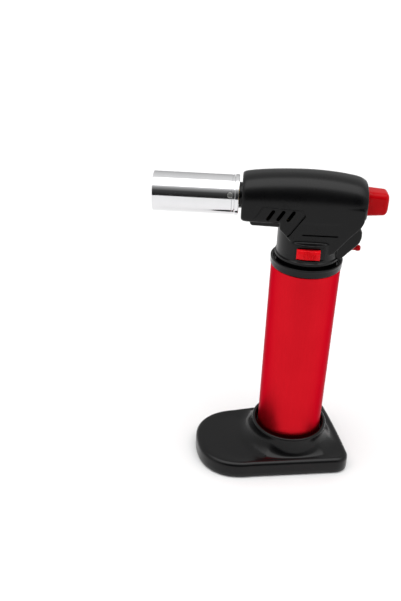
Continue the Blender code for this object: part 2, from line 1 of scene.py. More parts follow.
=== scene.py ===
"""The looks of a butane hand torch on its stand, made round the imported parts.

Lengths are in millimetres. The nozzle points along -X, the trigger is at the back, +X, and +Z runs up the
tank. Heights are drawn from a datum inside the stand, DATUM above the floor, and solid() lifts every mesh
by it.
"""

from math import atan2, cos, degrees, hypot, pi, radians, sin

import bmesh
import bpy
from mathutils import Matrix, Vector


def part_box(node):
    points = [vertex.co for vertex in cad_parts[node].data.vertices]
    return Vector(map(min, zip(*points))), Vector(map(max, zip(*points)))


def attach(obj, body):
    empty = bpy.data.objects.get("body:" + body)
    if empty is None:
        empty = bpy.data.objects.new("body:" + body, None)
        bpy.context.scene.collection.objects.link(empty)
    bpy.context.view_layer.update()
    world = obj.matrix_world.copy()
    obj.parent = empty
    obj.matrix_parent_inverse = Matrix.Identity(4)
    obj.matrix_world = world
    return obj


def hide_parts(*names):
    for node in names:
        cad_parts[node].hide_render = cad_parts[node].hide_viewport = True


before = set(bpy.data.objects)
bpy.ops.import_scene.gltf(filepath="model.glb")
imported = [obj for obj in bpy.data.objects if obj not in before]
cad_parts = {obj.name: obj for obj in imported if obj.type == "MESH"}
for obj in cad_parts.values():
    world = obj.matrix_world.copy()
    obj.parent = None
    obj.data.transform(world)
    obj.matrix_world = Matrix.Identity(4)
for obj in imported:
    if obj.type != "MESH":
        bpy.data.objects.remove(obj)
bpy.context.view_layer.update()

MM = 0.001
DATUM = Vector((0.0, 0.0, 2.0))


def span(node):
    """A CAD piece's lowest and highest corners, as drawn heights."""
    low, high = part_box(node)
    return low / MM - DATUM, high / MM - DATUM


# ---------------------------------------------------------------- materials


class Value:
    """A socket in a material. Arithmetic on it adds Math nodes."""

    def __init__(self, look, socket):
        self.look = look
        self.socket = socket

    def math(self, operation, *others):
        return self.look.node("ShaderNodeMath", {"operation": operation}, dict(enumerate((self, *others))))

    def __add__(self, other):
        return self.math("ADD", other)

    __radd__ = __add__

    def __mul__(self, other):
        return self.math("MULTIPLY", other)

    __rmul__ = __mul__

    def __sub__(self, other):
        return self.math("SUBTRACT", other)

    def __rsub__(self, other):
        return self.look.node("ShaderNodeMath", {"operation": "SUBTRACT"}, {0: other, 1: self})

    def __truediv__(self, other):
        return self.math("DIVIDE", other)

    def __pow__(self, other):
        return self.math("POWER", other)

    def ramp(self, low, high):
        """0 at low and below, 1 at high and above."""
        sockets = {"Value": self, "From Min": low, "From Max": high}
        return self.look.node("ShaderNodeMapRange", {"clamp": True}, sockets)


class Look:
    """A material round one Principled shader."""

    def __init__(self, name, roughness=0.5, metallic=0.0, **fixed):
        self.material = bpy.data.materials.new(name)
        self.material.use_nodes = True
        self.tree = self.material.node_tree
        self.shader = self.tree.nodes["Principled BSDF"]
        self.fill(self.shader, {"Roughness": roughness, "Metallic": metallic})
        names = {socket.name.lower().replace(" ", "_"): socket.name for socket in self.shader.inputs}
        self.fill(self.shader, {names[key]: value for key, value in fixed.items()})
        self.place = self.node("ShaderNodeTexCoord", {}, {}, "Object")

    @classmethod
    def on_tree(cls, tree, place):
        """The same tools for a tree that isn't a surface, such as the room's."""
        look = cls.__new__(cls)
        look.tree = tree
        look.place = look.node("ShaderNodeTexCoord", {}, {}, place)
        return look

    def fill(self, node, sockets):
        for key, value in sockets.items():
            socket = node.inputs[key]
            if isinstance(value, Value):
                self.tree.links.new(value.socket, socket)
            else:
                socket.default_value = (*value, 1.0) if socket.type == "RGBA" and len(value) == 3 else value

    def node(self, kind, settings, sockets, output=0):
        made = self.tree.nodes.new(kind)
        for key, value in settings.items():
            if key == "stops":
                self.set_stops(made.color_ramp, value)
            else:
                setattr(made, key, value)
        self.fill(made, sockets)
        return Value(self, made.outputs[output])

    def set_stops(self, ramp, stops):
        while len(ramp.elements) < len(stops):
            ramp.elements.new(0.5)
        for element, (place, colour) in zip(ramp.elements, stops):
            element.position = place
            element.color = (*colour, 1.0)

    def noise(self, size, detail=2.0, stretch=(1.0, 1.0, 1.0)):
        """Noise whose grain is about size mm, longer along an axis whose stretch is above 1."""
        scale = tuple(1.0 / (size * MM * s) for s in stretch)
        spot = self.node("ShaderNodeVectorMath", {"operation": "MULTIPLY"}, {0: self.place, 1: scale})
        return self.node("ShaderNodeTexNoise", {}, {"Vector": spot, "Scale": 1.0, "Detail": detail})

    def blend(self, factor, first, second):
        sockets = {"Factor": factor, 6: first, 7: second}
        return self.node("ShaderNodeMix", {"data_type": "RGBA"}, sockets, 2)

    def colour(self, value):
        self.fill(self.shader, {"Base Color": value})

    def rough(self, value):
        self.fill(self.shader, {"Roughness": value})

    def bump(self, height, depth, strength=1.0):
        """Height from 0 to 1, depth in mm."""
        sockets = {"Height": height, "Distance": depth * MM, "Strength": strength}
        self.fill(self.shader, {"Normal": self.node("ShaderNodeBump", {}, sockets)})


def moulded_plastic(name, dark, light, roughness, grain, depth, coat=0.0):
    """Moulded plastic: spark-eroded grain, a little flow mottling and uneven gloss. Dark and light are greys
    given as a level and the extra blue in it."""
    dark, light = ((level, level, level + blue) for level, blue in (dark, light))
    look = Look(name, roughness, specular_ior_level=0.22, coat_weight=coat, coat_roughness=0.12)
    flow = look.noise(14.0, 3.0)
    fine = look.noise(grain, 2.0)
    look.colour(look.blend(flow.ramp(0.35, 0.7) * 0.7 + fine * 0.3, dark, light))
    look.rough(flow * 0.10 + fine * 0.06 + (roughness - 0.08))
    look.bump(fine, depth)
    return look.material


def anodised_red():
    look = Look("anodised_red", 0.36, 1.0, specular_tint=(0.62, 0.42, 0.46, 1.0))
    satin = look.noise(0.16, 2.0)
    drawn = look.noise(0.5, 2.0, (1.0, 1.0, 60.0))
    cloud = look.noise(30.0, 2.0)
    tone = satin * 0.25 + drawn * 0.25 + cloud * 0.5
    look.colour(look.blend(tone.ramp(0.3, 0.7), (0.53, 0.007, 0.014), (0.62, 0.010, 0.019)))
    look.rough(cloud * 0.06 + satin * 0.08 + 0.29)
    look.bump(satin * 0.7 + drawn * 0.3, 0.006, 0.5)
    return look.material


def gloss_red(name, dark, light):
    look = Look(name, 0.22, specular_ior_level=0.07)
    flow = look.noise(6.0, 2.0)
    look.colour(look.blend(flow.ramp(0.3, 0.7), dark, light))
    look.rough(flow * 0.08 + 0.18)
    look.bump(look.noise(1.6, 2.0), 0.01, 0.3)
    return look.material


def polished_metal(name, colour, dull, roughness, lines, along):
    """Plated or turned metal: fine polishing lines across the given axis, faint smears."""
    look = Look(name, roughness, 1.0)
    stretch = tuple(1.0 if axis == along else lines for axis in "XYZ")
    grain = look.noise(0.22, 3.0, stretch)
    smear = look.noise(9.0, 4.0)
    look.colour(look.blend(smear.ramp(0.45, 0.8) * 0.5 + grain * 0.3, colour, dull))
    look.rough(smear * 0.05 + grain * 0.05 + (roughness - 0.04))
    look.bump(grain, 0.0015, 0.5)
    return look.material


def rubber_black():
    look = Look("soft_rubber", 0.75)
    fine = look.noise(0.4, 3.0)
    dust = look.noise(5.0, 4.0)
    look.colour(look.blend(dust.ramp(0.5, 0.8) * 0.6, (0.016, 0.016, 0.017), (0.035, 0.034, 0.033)))
    look.rough(fine * 0.15 + 0.68)
    look.bump(fine, 0.03)
    return look.material


def matt_light(name, pale, deep, roughness, grain, depth):
    """Nylon, ceramic or felt: a pale body with cloudy variation."""
    look = Look(name, roughness)
    cloud = look.noise(grain * 8, 3.0)
    fine = look.noise(grain, 3.0)
    look.colour(look.blend(cloud.ramp(0.3, 0.7) * 0.6 + fine * 0.4, pale, deep))
    look.rough(fine * 0.12 + (roughness - 0.06))
    look.bump(fine, depth)
    return look.material


HEAD_BLACK = moulded_plastic("head_plastic", (0.0012, 0.0002), (0.0021, 0.0002), 0.29, 0.28, 0.010)
STAND_BLACK = moulded_plastic("stand_plastic", (0.0018, 0.0002), (0.0030, 0.0002), 0.21, 0.4, 0.008)
GLOSS_BLACK = moulded_plastic("gloss_black_plastic", (0.0020, 0.0003), (0.0031, 0.0004), 0.20, 0.9, 0.004)
DULL_BLACK = moulded_plastic("inner_black_plastic", (0.012, 0.0), (0.020, 0.0), 0.55, 0.3, 0.015)
RED_TUBE = anodised_red()
# One red plastic in two brightness copies: the trigger's and flow lever's copy is darker as painted shade,
# the slide's copy is brighter as painted light.
RED_PLASTIC_PAINTED_SHADE = gloss_red("gloss_red", (0.40, 0.001, 0.003), (0.47, 0.001, 0.004))
SLIDE_RED_PAINTED_LIGHT = gloss_red("slide_red", (0.60, 0.004, 0.008), (0.72, 0.006, 0.012))
CHROME = polished_metal("chrome_plate", (0.74, 0.74, 0.75), (0.68, 0.68, 0.69), 0.07, 14.0, "X")
ZINC = polished_metal("zinc_plate", (0.62, 0.62, 0.60), (0.45, 0.45, 0.44), 0.28, 6.0, "Z")
SPRING_WIRE = polished_metal("spring_steel", (0.55, 0.55, 0.54), (0.40, 0.40, 0.40), 0.25, 4.0, "X")
BURNT_STEEL = polished_metal("burner_steel", (0.42, 0.40, 0.38), (0.22, 0.20, 0.19), 0.38, 5.0, "X")
BRASS = polished_metal("turned_brass", (0.78, 0.56, 0.24), (0.60, 0.42, 0.18), 0.24, 16.0, "Z")
RUBBER = rubber_black()
NYLON = matt_light("cloudy_nylon", (0.66, 0.66, 0.62), (0.56, 0.56, 0.52), 0.42, 0.8, 0.02)
CERAMIC = matt_light("white_ceramic", (0.80, 0.79, 0.74), (0.70, 0.68, 0.62), 0.34, 0.5, 0.01)
FELT = matt_light("felt_wick", (0.62, 0.60, 0.52), (0.45, 0.43, 0.38), 0.92, 0.25, 0.12)


# ---------------------------------------------------------------- mesh tools


def skin(rings, close_ends=True, wrap=False):
    """Faces between rings of equal length. The ends are filled, or the last ring is joined to the first."""
    count = len(rings[0])
    points = [Vector(p) for ring in rings for p in ring]
    faces = []
    levels = len(rings) if wrap else len(rings) - 1
    for level in range(levels):
        here, there = level * count, ((level + 1) % len(rings)) * count
        for i in range(count):
            j = (i + 1) % count
            faces.append((here + i, here + j, there + j, there + i))
    if close_ends and not wrap:
        faces.append(tuple(reversed(range(count))))
        faces.append(tuple(range((len(rings) - 1) * count, len(rings) * count)))
    return points, faces


def merged(*shapes):
    points, faces = [], []
    for more_points, more_faces in shapes:
        start = len(points)
        points += more_points
        faces += [tuple(start + i for i in face) for face in more_faces]
    return points, faces


def moved(shape, matrix):
    return [matrix @ Vector(p) for p in shape[0]], shape[1]


def solid(name, shape, look=None, sharp=35.0):
    """A mesh object from points in mm, with its faces pointing out."""
    points, faces = shape
    mesh = bpy.data.meshes.new(name)
    mesh.from_pydata([(Vector(p) + DATUM) * MM for p in points], [], faces)
    work = bmesh.new()
    work.from_mesh(mesh)
    bmesh.ops.remove_doubles(work, verts=work.verts, dist=0.001 * MM)
    bmesh.ops.recalc_face_normals(work, faces=work.faces)
    work.to_mesh(mesh)
    work.free()
    smooth_shaded(mesh, sharp)
    if look:
        mesh.materials.append(look)
    made = bpy.data.objects.new(name, mesh)
    bpy.context.scene.collection.objects.link(made)
    return made


def smooth_shaded(mesh, sharp):
    mesh.shade_smooth()
    mesh.set_sharp_from_angle(angle=radians(sharp))


def settle(made, sharp=35.0):
    """Applies an object's modifiers."""
    graph = bpy.context.evaluated_depsgraph_get()
    mesh = bpy.data.meshes.new_from_object(made.evaluated_get(graph))
    made.modifiers.clear()
    made.data = mesh
    smooth_shaded(mesh, sharp)
    return made


def cut(made, cutters, operation="DIFFERENCE", sharp=35.0):
    """Boolean with several closed shapes, which may overlap each other."""
    group = bpy.data.collections.new("cutters")
    tools = [solid(f"cutter_{i}", shape) for i, shape in enumerate(cutters)]
    for tool in tools:
        group.objects.link(tool)
    change = made.modifiers.new("cut", "BOOLEAN")
    change.operation = operation
    change.solver = "EXACT"
    if len(tools) == 1:
        change.object = tools[0]
    else:
        change.operand_type = "COLLECTION"
        change.collection = group
    settle(made, sharp)
    for tool in tools:
        bpy.data.objects.remove(tool)
    bpy.data.collections.remove(group)
    return made


def rounded_path(corners, steps=5):
    """A path of (a, b, radius) corners with each corner rounded by an arc. The path is closed."""
    path = []
    count = len(corners)
    for i, (a, b, radius) in enumerate(corners):
        here = Vector((a, b))
        before = Vector(corners[i - 1][:2]) - here
        after = Vector(corners[(i + 1) % count][:2]) - here
        if radius <= 0:
            path.append((a, b))
            continue
        half = before.angle(after) / 2
        back = min(radius / max(abs(sin(half) / cos(half)), 1e-4), before.length * 0.49, after.length * 0.49)
        start = here + before.normalized() * back
        end = here + after.normalized() * back
        for s in range(steps + 1):
            t = s / steps
            point = start * (1 - t) ** 2 + here * (2 * t * (1 - t)) + end * t**2
            path.append((point.x, point.y))
    return path


def placed(a, b, height, along, centre):
    if along == "Z":
        return (a + centre[0], b + centre[1], height)
    if along == "X":
        return (height, a + centre[0], b + centre[1])
    return (a + centre[0], height, b + centre[1])


def turned(corners, steps=128, along="Z", centre=(0.0, 0.0), ease=5):
    """A closed profile of (radius, height, edge radius) turned round an axis."""
    profile = rounded_path(corners, ease)
    points, rows, faces = [], [], []
    for radius, height in profile:
        if radius < 1e-4:
            rows.append([len(points)] * steps)
            points.append(Vector(placed(0.0, 0.0, height, along, centre)))
            continue
        rows.append(list(range(len(points), len(points) + steps)))
        for i in range(steps):
            angle = 2 * pi * i / steps
            points.append(Vector(placed(radius * cos(angle), radius * sin(angle), height, along, centre)))
    for k, row in enumerate(rows):
        following = rows[(k + 1) % len(rows)]
        for i in range(steps):
            j = (i + 1) % steps
            face = tuple(dict.fromkeys((row[i], row[j], following[j], following[i])))
            if len(face) > 2:
                faces.append(face)
    return points, faces


def rod(radius, low, high, steps=48, along="Z", centre=(0.0, 0.0)):
    return turned([(0, low, 0), (radius, low, 0), (radius, high, 0), (0, high, 0)], steps, along, centre)


def prism(outline, low, high, along="Z"):
    return skin([[placed(a, b, level, along, (0.0, 0.0)) for a, b in outline] for level in (low, high)])


def block(x0, x1, y0, y1, z0, z1):
    return prism([(x0, y0), (x1, y0), (x1, y1), (x0, y1)], z0, z1)


def arc(cx, cy, radius, start, end, steps):
    angles = [radians(start + (end - start) * i / steps) for i in range(steps + 1)]
    return [(cx + radius * cos(a), cy + radius * sin(a)) for a in angles]


def rounded_box(cx, cy, half_x, half_y, radius, steps=8):
    dx, dy = half_x - radius, half_y - radius
    outline = []
    for x, y, start in ((dx, dy, 0), (-dx, dy, 90), (-dx, -dy, 180), (dx, -dy, 270)):
        outline += arc(cx + x, cy + y, radius, start, start + 90, steps)
    return outline


def strip(start, end, width):
    """The outline of a narrow groove between two points, with round ends."""
    (x0, y0), (x1, y1) = start, end
    turn = degrees(atan2(y1 - y0, x1 - x0))
    return arc(x0, y0, width / 2, turn + 90, turn + 270, 6) + arc(x1, y1, width / 2, turn - 90, turn + 90, 6)


def finish(made, body, slot, *nodes):
    """Puts a piece on its body and in place of its CAD nodes."""
    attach(made, body)
    if nodes:
        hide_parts(*nodes)
    return made


# ---------------------------------------------------------------- stand

STAND_LOW, STAND_HIGH = span("base_stand")
STAND_TURN = 13.7
STAND_HALF = 28.4
STAND_WIDE = 32.1
STAND_NOSE = 30.2
STAND_NOSE_X = -30.0
STAND_BACK = 33.1
STAND_BOW = 0.5
STAND_CORNER = 8.9
STAND_TOP = 9.0
PLATE_EDGE = 3.0  # the round along the top edge of the plate
SOCKET_BORE = 21.4
SOCKET_LIP = 23.8
SOCKET_FLOOR = 4.0
WALL_FOOT = 34.0  # how far out the socket's wall sweeps into the plate
WALL_TOP = 19.6
DISH = 0.45  # how far the plate's top sinks inside its rounded rim
DISH_REACH = 12.0  # where the plate is narrower than this, it sinks less


def stand_outline(inset):
    """Points round the plate, evenly enough spaced to carry smooth rings."""
    half, wide, reach = STAND_HALF - inset, STAND_WIDE - inset, STAND_NOSE - inset
    corner = max(STAND_CORNER - inset, 1.5)
    back = STAND_BACK - inset
    outline = []
    for i in range(96):
        angle = pi / 2 + pi * i / 96
        c, s = cos(angle), sin(angle)
        across = half * abs(s) ** 0.855 * (1 if s > 0 else -1)
        outline.append((STAND_NOSE_X - reach * abs(c) ** 0.855, across))
    run = back - corner - STAND_NOSE_X
    side = [(STAND_NOSE_X + run * i / 32, half + (wide - half) * i / 32) for i in range(32)]
    outline += [(x, -y) for x, y in side]
    outline += arc(back - corner, corner - wide, corner, -90, 0, 14)[:-1]
    edge = wide - corner
    outline += [(back + STAND_BOW * (1 - (1 - i / 12) ** 2), edge * (i / 12 - 1)) for i in range(24)]
    outline += arc(back - corner, wide - corner, corner, 0, 90, 14)[:-1]
    outline += [(x, y) for x, y in reversed(side)]
    return outline


def make_stand():
    foot, top = STAND_LOW.z, STAND_HIGH.z
    levels = [(4.0, foot + 1.0), (4.0, foot), (0.3, foot), (0.1, foot + 0.1), (0.0, foot + 0.3)]
    levels += [(0.0, foot + 3.0), (0.1, STAND_TOP - PLATE_EDGE)]
    for step in range(1, 11):
        angle = pi / 2 * step / 10
        levels.append((0.1 + PLATE_EDGE * (1 - cos(angle)), STAND_TOP - PLATE_EDGE * (1 - sin(angle))))
    rings = [[(x, y, z) for x, y in stand_outline(inset)] for inset, z in levels]
    edge = stand_outline(PLATE_EDGE + 0.1)
    reach = [hypot(x, y) for x, y in edge]
    feet = [max(min(WALL_FOOT, far - 0.4), 25.8) for far in reach]

    def ring(place):
        """A ring whose points lie straight in from the plate's edge. place gives a radius and a height."""
        spots = [place(far, foot_r) for far, foot_r in zip(reach, feet)]
        return [(x / far * r, y / far * r, z) for (x, y), far, (r, z) in zip(edge, reach, spots)]

    def sunk(depth, far, foot_r):
        """The plate's height, sunk by depth where the plate is wide and by less where it is narrow."""
        return STAND_TOP - depth * min(1.0, (far - foot_r) / DISH_REACH)

    for step in range(1, 8):
        part = step / 7
        dish = DISH * sin(pi / 2 * min(1.0, part * 1.6))
        rings.append(ring(lambda far, foot_r: (far + (foot_r - far) * part, sunk(dish, far, foot_r))))
    for step in range(1, 19):
        angle = pi / 2 * step / 18
        rise = (WALL_TOP - STAND_TOP) * (1 - cos(angle))
        rings.append(ring(lambda far, foot_r: (
            foot_r - (foot_r - SOCKET_LIP) * sin(angle), sunk(DISH * cos(angle), far, foot_r) + rise,
        )))
    lip = [(23.75, top - 0.95), (23.55, top - 0.5), (23.2, top - 0.15), (22.7, top), (22.2, top - 0.02)]
    lip += [(21.8, top - 0.2), (21.5, top - 0.55)]
    lip += [(SOCKET_BORE, top - 1.0), (SOCKET_BORE, 12.0), (SOCKET_BORE, SOCKET_FLOOR)]
    for radius, height in lip:
        rings.append(ring(lambda far, foot_r: (radius, height)))
    shape = moved(skin(rings), Matrix.Rotation(radians(STAND_TURN), 4, "Z"))
    finish(solid("stand_moulding", shape, STAND_BLACK, 50), "stand", "satin_black_plastic", "base_stand")


def make_stand_pad():
    """A soft pad with shallow grip channels, glued under the stand."""
    low, high = span("base_pad")
    rings = []
    for inset, z in ((4.7, low.z), (4.4, low.z + 0.3), (4.4, high.z - 0.2), (4.6, high.z)):
        rings.append([(x, y, z) for x, y in stand_outline(inset)])
    shape = moved(skin(rings), Matrix.Rotation(radians(STAND_TURN), 4, "Z"))
    pad = solid("stand_pad", shape, RUBBER)
    channels = [block(-52 + 9 * i, -51 + 9 * i, -21, 21, -3.0, -1.65) for i in range(9)]
    cut(pad, [moved(channel, Matrix.Rotation(radians(STAND_TURN), 4, "Z")) for channel in channels])
    finish(pad, "stand", "black_rubber", "base_pad")


def make_socket_grip():
    """The ring that grips the tank, with a soft bead top and bottom."""
    low, high = span("socket_ring")
    inner, outer = high.x - 0.8, high.x
    ring = [(inner, low.z, 0.2), (outer, low.z, 0.3), (outer, high.z, 0.3), (inner, high.z, 0.2)]
    finish(solid("socket_grip", turned(ring), RUBBER), "socket", "black_rubber", "socket_ring")


# ---------------------------------------------------------------- tank


def make_tank():
    low, high = span("tank_sleeve")
    outer = high.x
    inner = outer - 1.0
    wall = [(inner, low.z, 0.1), (outer - 0.5, low.z, 0.3), (outer, low.z + 0.6, 0.5)]
    wall += [(outer, high.z, 0.25), (inner, high.z, 0.1)]
    finish(solid("tank_tube", turned(wall, 192), RED_TUBE), "torch", "red_anodised", "tank_sleeve")

    low, high = span("collar_ring")
    rim = high.x
    collar = [
        (5.3, low.z, 0), (rim - 0.5, low.z, 0.1), (rim - 0.15, low.z + 0.5, 0.4),
        (rim - 0.1, high.z - 1.4, 0.3), (rim, high.z - 1.1, 0.3), (rim, high.z, 0.5),
        (rim - 1.6, high.z, 0.5), (rim - 1.6, low.z + 1.6, 0.4), (5.3, low.z + 1.6, 0),
    ]
    ring = solid("tank_collar", turned(collar, 192), GLOSS_BLACK)
    finish(ring, "torch", "gloss_black_plastic", "collar_ring")

    low, high = span("bottom_cap")
    cap = [
        (4.4, low.z + 1.0, 0.2), (6.5, low.z, 0.4), (high.x - 0.6, low.z, 0.3), (high.x, low.z + 0.6, 0.3),
        (high.x, high.z, 0.1), (4.4, high.z, 0.1),
    ]
    piece = solid("tank_foot", turned(cap), DULL_BLACK)
    dimples = []
    for i in range(12):
        angle = pi / 6 * i
        dimples.append(rod(1.0, low.z - 1, low.z + 0.8, 24, centre=(14 * cos(angle), 14 * sin(angle))))
    cut(piece, dimples)
    finish(piece, "torch", "satin_black_plastic", "bottom_cap")


def make_fill_valve():
    low, high = span("fill_valve_body")
    body = [
        (2.1, low.z, 0.1), (high.x - 0.5, low.z, 0.2), (high.x, low.z + 0.5, 0.2), (high.x, high.z, 0.2),
        (1.6, high.z, 0.1), (1.6, 17.0, 0), (2.9, 17.0, 0), (2.9, 8.6, 0), (2.1, 8.6, 0),
    ]
    finish(solid("fill_nipple", turned(body, 64), BRASS), "torch", "brass", "fill_valve_body")
    low, high = span("fill_stem")
    stem = [(0, low.z, 0), (0.9, low.z, 0.15), (1.3, low.z + 0.4, 0.1), (1.3, 9.6, 0)]
    stem += [(2.5, 9.6, 0.1), (2.5, high.z, 0.1), (0, high.z, 0)]
    finish(solid("fill_pin", turned(stem, 48), BRASS), "fill_stem", "brass", "fill_stem")


# ---------------------------------------------------------------- nozzle

NOZZLE_LOW, NOZZLE_HIGH = span("nozzle_tube")
BARREL_Z = (NOZZLE_LOW.z + NOZZLE_HIGH.z) / 2
NOZZLE_R = (NOZZLE_HIGH.z - NOZZLE_LOW.z) / 2
SCREW_X = -45.4
SCREW_ABOVE = 18.0


def along_nozzle(corners, steps=128, ease=5):
    return turned(corners, steps, "X", (0.0, BARREL_Z), ease)


def screw_places():
    """Where each nozzle screw sits: its own +Y is the screw's axis, pointing out."""
    places = []
    for number in range(3):
        angle = radians(180.0 - SCREW_ABOVE + 120.0 * number)
        places.append(Matrix.Translation((SCREW_X, 0, BARREL_Z)) @ Matrix.Rotation(angle, 4, "X"))
    return places


def cross_screw(name, profile, top, place, recess=1.1, width=0.34):
    """A screw with a cross recess in its head."""
    made = solid(name, turned(profile, 48, "Y"), ZINC)
    arms = [block(-recess, recess, top - 0.7, top + 1, -width / 2, width / 2)]
    arms.append(block(-width / 2, width / 2, top - 0.7, top + 1, -recess, recess))
    cut(made, arms)
    made.data.transform(scaled(place))
    return made


def scaled(place):
    """The same move, for a mesh that solid() has made."""
    lift = Matrix.Translation(DATUM)
    shifted = lift @ place @ lift.inverted()
    shifted.translation *= MM
    return shifted


def make_nozzle():
    inner = NOZZLE_R - 0.8
    tip, back = NOZZLE_LOW.x, NOZZLE_HIGH.x
    groove = back - 1.3
    tube = [
        (inner, tip, 0.3), (NOZZLE_R, tip, 0.35), (NOZZLE_R, groove - 0.2, 0.05),
        (NOZZLE_R - 0.18, groove, 0), (NOZZLE_R, groove + 0.2, 0.05), (NOZZLE_R, back, 0.15),
        (inner, back, 0.1),
    ]
    shield = solid("nozzle_shield", along_nozzle(tube, 192), CHROME)
    cut(shield, [moved(rod(1.75, 10.0, 12.5, 32, "Y"), place) for place in screw_places()])
    finish(shield, "torch", "chrome", "nozzle_tube")

    low, high = span("nozzle_flange")
    rim = (high.z - low.z) / 2
    spigot = 9.9
    step = back + 0.3
    sunk = high.x - 0.35
    ring = [
        (5.3, low.x, 0.1), (spigot, low.x, 0.3), (spigot, step, 0), (rim, step, 0.35), (rim, high.x, 0.35),
        (rim - 1.4, high.x, 0.2), (rim - 1.7, sunk, 0.1), (8.0, sunk, 0.1), (7.6, high.x, 0.1),
        (5.3, high.x, 0.1),
    ]
    flange = solid("nozzle_ring", along_nozzle(ring, 192), CHROME)
    cut(flange, [moved(rod(1.2, 6.5, 12.5, 24, "Y"), place) for place in screw_places()])
    finish(flange, "torch", "chrome", "nozzle_flange")

    near = high.x + 0.1
    low, high = span("nozzle_boss")
    boss = [
        (5.3, near, 0.1), (7.1, near, 0.2), (7.1, -35.0, 0), (8.4, -35.0, 0.1), (8.4, high.x, 0.1),
        (5.3, high.x, 0.1),
    ]
    neck = solid("nozzle_neck", along_nozzle(boss), GLOSS_BLACK)
    finish(neck, "torch", "gloss_black_plastic", "nozzle_boss")

    profile = [(0, 6.9, 0), (0.9, 6.9, 0.2), (0.9, 10.2, 0)]
    profile += [(1.5, 10.2, 0.1), (1.5, 11.05, 0.25), (0, 11.15, 0)]
    for number, place in enumerate(screw_places(), 1):
        screw = cross_screw(f"shield_screw_{number}", profile, 11.1, place, 1.3, 0.5)
        finish(screw, "torch", "steel", f"nozzle_screw_{number}")


def make_burner():
    low, high = span("burner_head")
    cup = [
        (5.3, low.x + 1.5, 0.1), (8.6, low.x, 0.2), (9.2, low.x + 0.8, 0.3), (6.3, high.x, 0.2),
        (5.3, high.x, 0.1),
    ]
    head = solid("burner_cup", along_nozzle(cup), BURNT_STEEL)
    ports = []
    for i in range(16):
        angle = 2 * pi * i / 16
        centre = (7.1 * cos(angle), BARREL_Z + 7.1 * sin(angle))
        ports.append(rod(0.45, low.x - 1, high.x - 2, 12, "X", centre))
    cut(head, ports)
    finish(head, "torch", "steel", "burner_head")
    low, high = span("burner_tube")
    outer = (high.z - low.z) / 2
    pipe = [
        (outer - 0.8, low.x, 0.1), (outer, low.x, 0.2), (outer, high.x, 0.15), (outer - 0.8, high.x, 0.1),
    ]
    mixing = solid("mixing_pipe", along_nozzle(pipe, 96), BRASS)
    cut(mixing, [block(-30.5, -28.0, -7, 7, BARREL_Z - 1.3, BARREL_Z + 1.3)])
    finish(mixing, "torch", "brass", "burner_tube")


# ---------------------------------------------------------------- head

SHELL = 2.0
NECK_BOTTOM = span("housing_right")[0].z
HEAD_BACK = span("housing_right")[1].x
HEAD_FRONT = span("housing_right")[0].x
CHEEK = 14.45
SPINE = 8.0
BAFFLE = 1.0  # half the thickness of the wall behind the air slots
NECK_R = 17.7
VOXEL = 0.42  # the grain of the mesh that joins the head's forms into one
TRIGGER_Z = 171.7
HOUSING_SCREWS = ((-27.0, 162.0, 9.0), (2.0, 181.6, 6.0), (21.0, 150.5, 5.0))

# Along X: the barrel's top, its bottom and its half width
BARREL_SECTIONS = (
    (HEAD_FRONT, 183.6, 161.7, 13.2),
    (HEAD_FRONT + 1.5, 184.6, 160.9, 13.8),
    (-28.0, 186.1, 160.8, 14.15),
    (-15.0, 187.1, 160.8, 14.35),
    (-2.0, 187.4, 160.5, 14.6),
    (11.0, 186.7, 160.6, 14.6),
    (20.7, 185.4, 161.4, 14.3),
    (25.2, 184.3, 163.2, 14.1),
    (HEAD_BACK, 182.4, 165.2, 13.3),
)


def section_at(x):
    """The barrel's measures at x, on a smooth curve through the sections."""
    table = BARREL_SECTIONS
    last = len(table) - 1
    k = max(i for i in range(last) if table[i][0] <= x + 1e-6)
    a, b, c, d = (table[min(max(i, 0), last)] for i in (k - 1, k, k + 1, k + 2))
    t = (x - b[0]) / (c[0] - b[0])
    values = []
    for i in (1, 2, 3):
        into = (c[i] - a[i]) / (c[0] - a[0]) * (c[0] - b[0])
        out = (d[i] - b[i]) / (d[0] - b[0]) * (c[0] - b[0])
        blend = (2 * t**3 - 3 * t**2 + 1) * b[i] + (t**3 - 2 * t**2 + t) * into
        values.append(blend + (3 * t**2 - 2 * t**3) * c[i] + (t**3 - t**2) * out)
    return values


def arch(x, top, bottom, half, power=2.25, corner=2.6):
    """One cross-section: an oval arch on straight sides, with small corners below."""
    ring = []
    for i in range(49):
        angle = pi * i / 48
        c, s = cos(angle), sin(angle)
        across = half * abs(c) ** (2 / power) * (1 if c > 0 else -1)
        ring.append((x, across, BARREL_Z + (top - BARREL_Z) * abs(s) ** (2 / power)))
    for side, start in ((-1, 180), (1, 270)):
        lower = arc(side * (half - corner), bottom + corner, corner, start, start + 90, 6)
        ring += [(x, y, z) for y, z in lower]
    return ring


def barrel(shrink=0.0):
    first, last = BARREL_SECTIONS[0][0] + shrink, BARREL_SECTIONS[-1][0] - shrink
    steps = 60
    rings = []
    for i in range(steps + 1):
        x = first + (last - first) * i / steps
        top, bottom, half = section_at(x)
        rings.append(arch(x, top - shrink, bottom + shrink, half - shrink))
    return skin(rings)


def eased_prism(outline, half, edge):
    """An outline extruded to both sides of the middle, with its long edges rounded."""
    rings = []
    centre = (sum(a for a, _ in outline) / len(outline), sum(b for _, b in outline) / len(outline))
    near_side = [(-half, 1), (-half + edge * 0.3, 0.45), (-half + edge, 0)]
    for y, pull in near_side + [(-y, pull) for y, pull in reversed(near_side)]:
        ring = []
        for a, b in outline:
            away = Vector((a - centre[0], b - centre[1]))
            inwards = away.normalized() * edge * pull
            ring.append((a - inwards.x, y, b - inwards.y))
        rings.append(ring)
    return skin(rings)


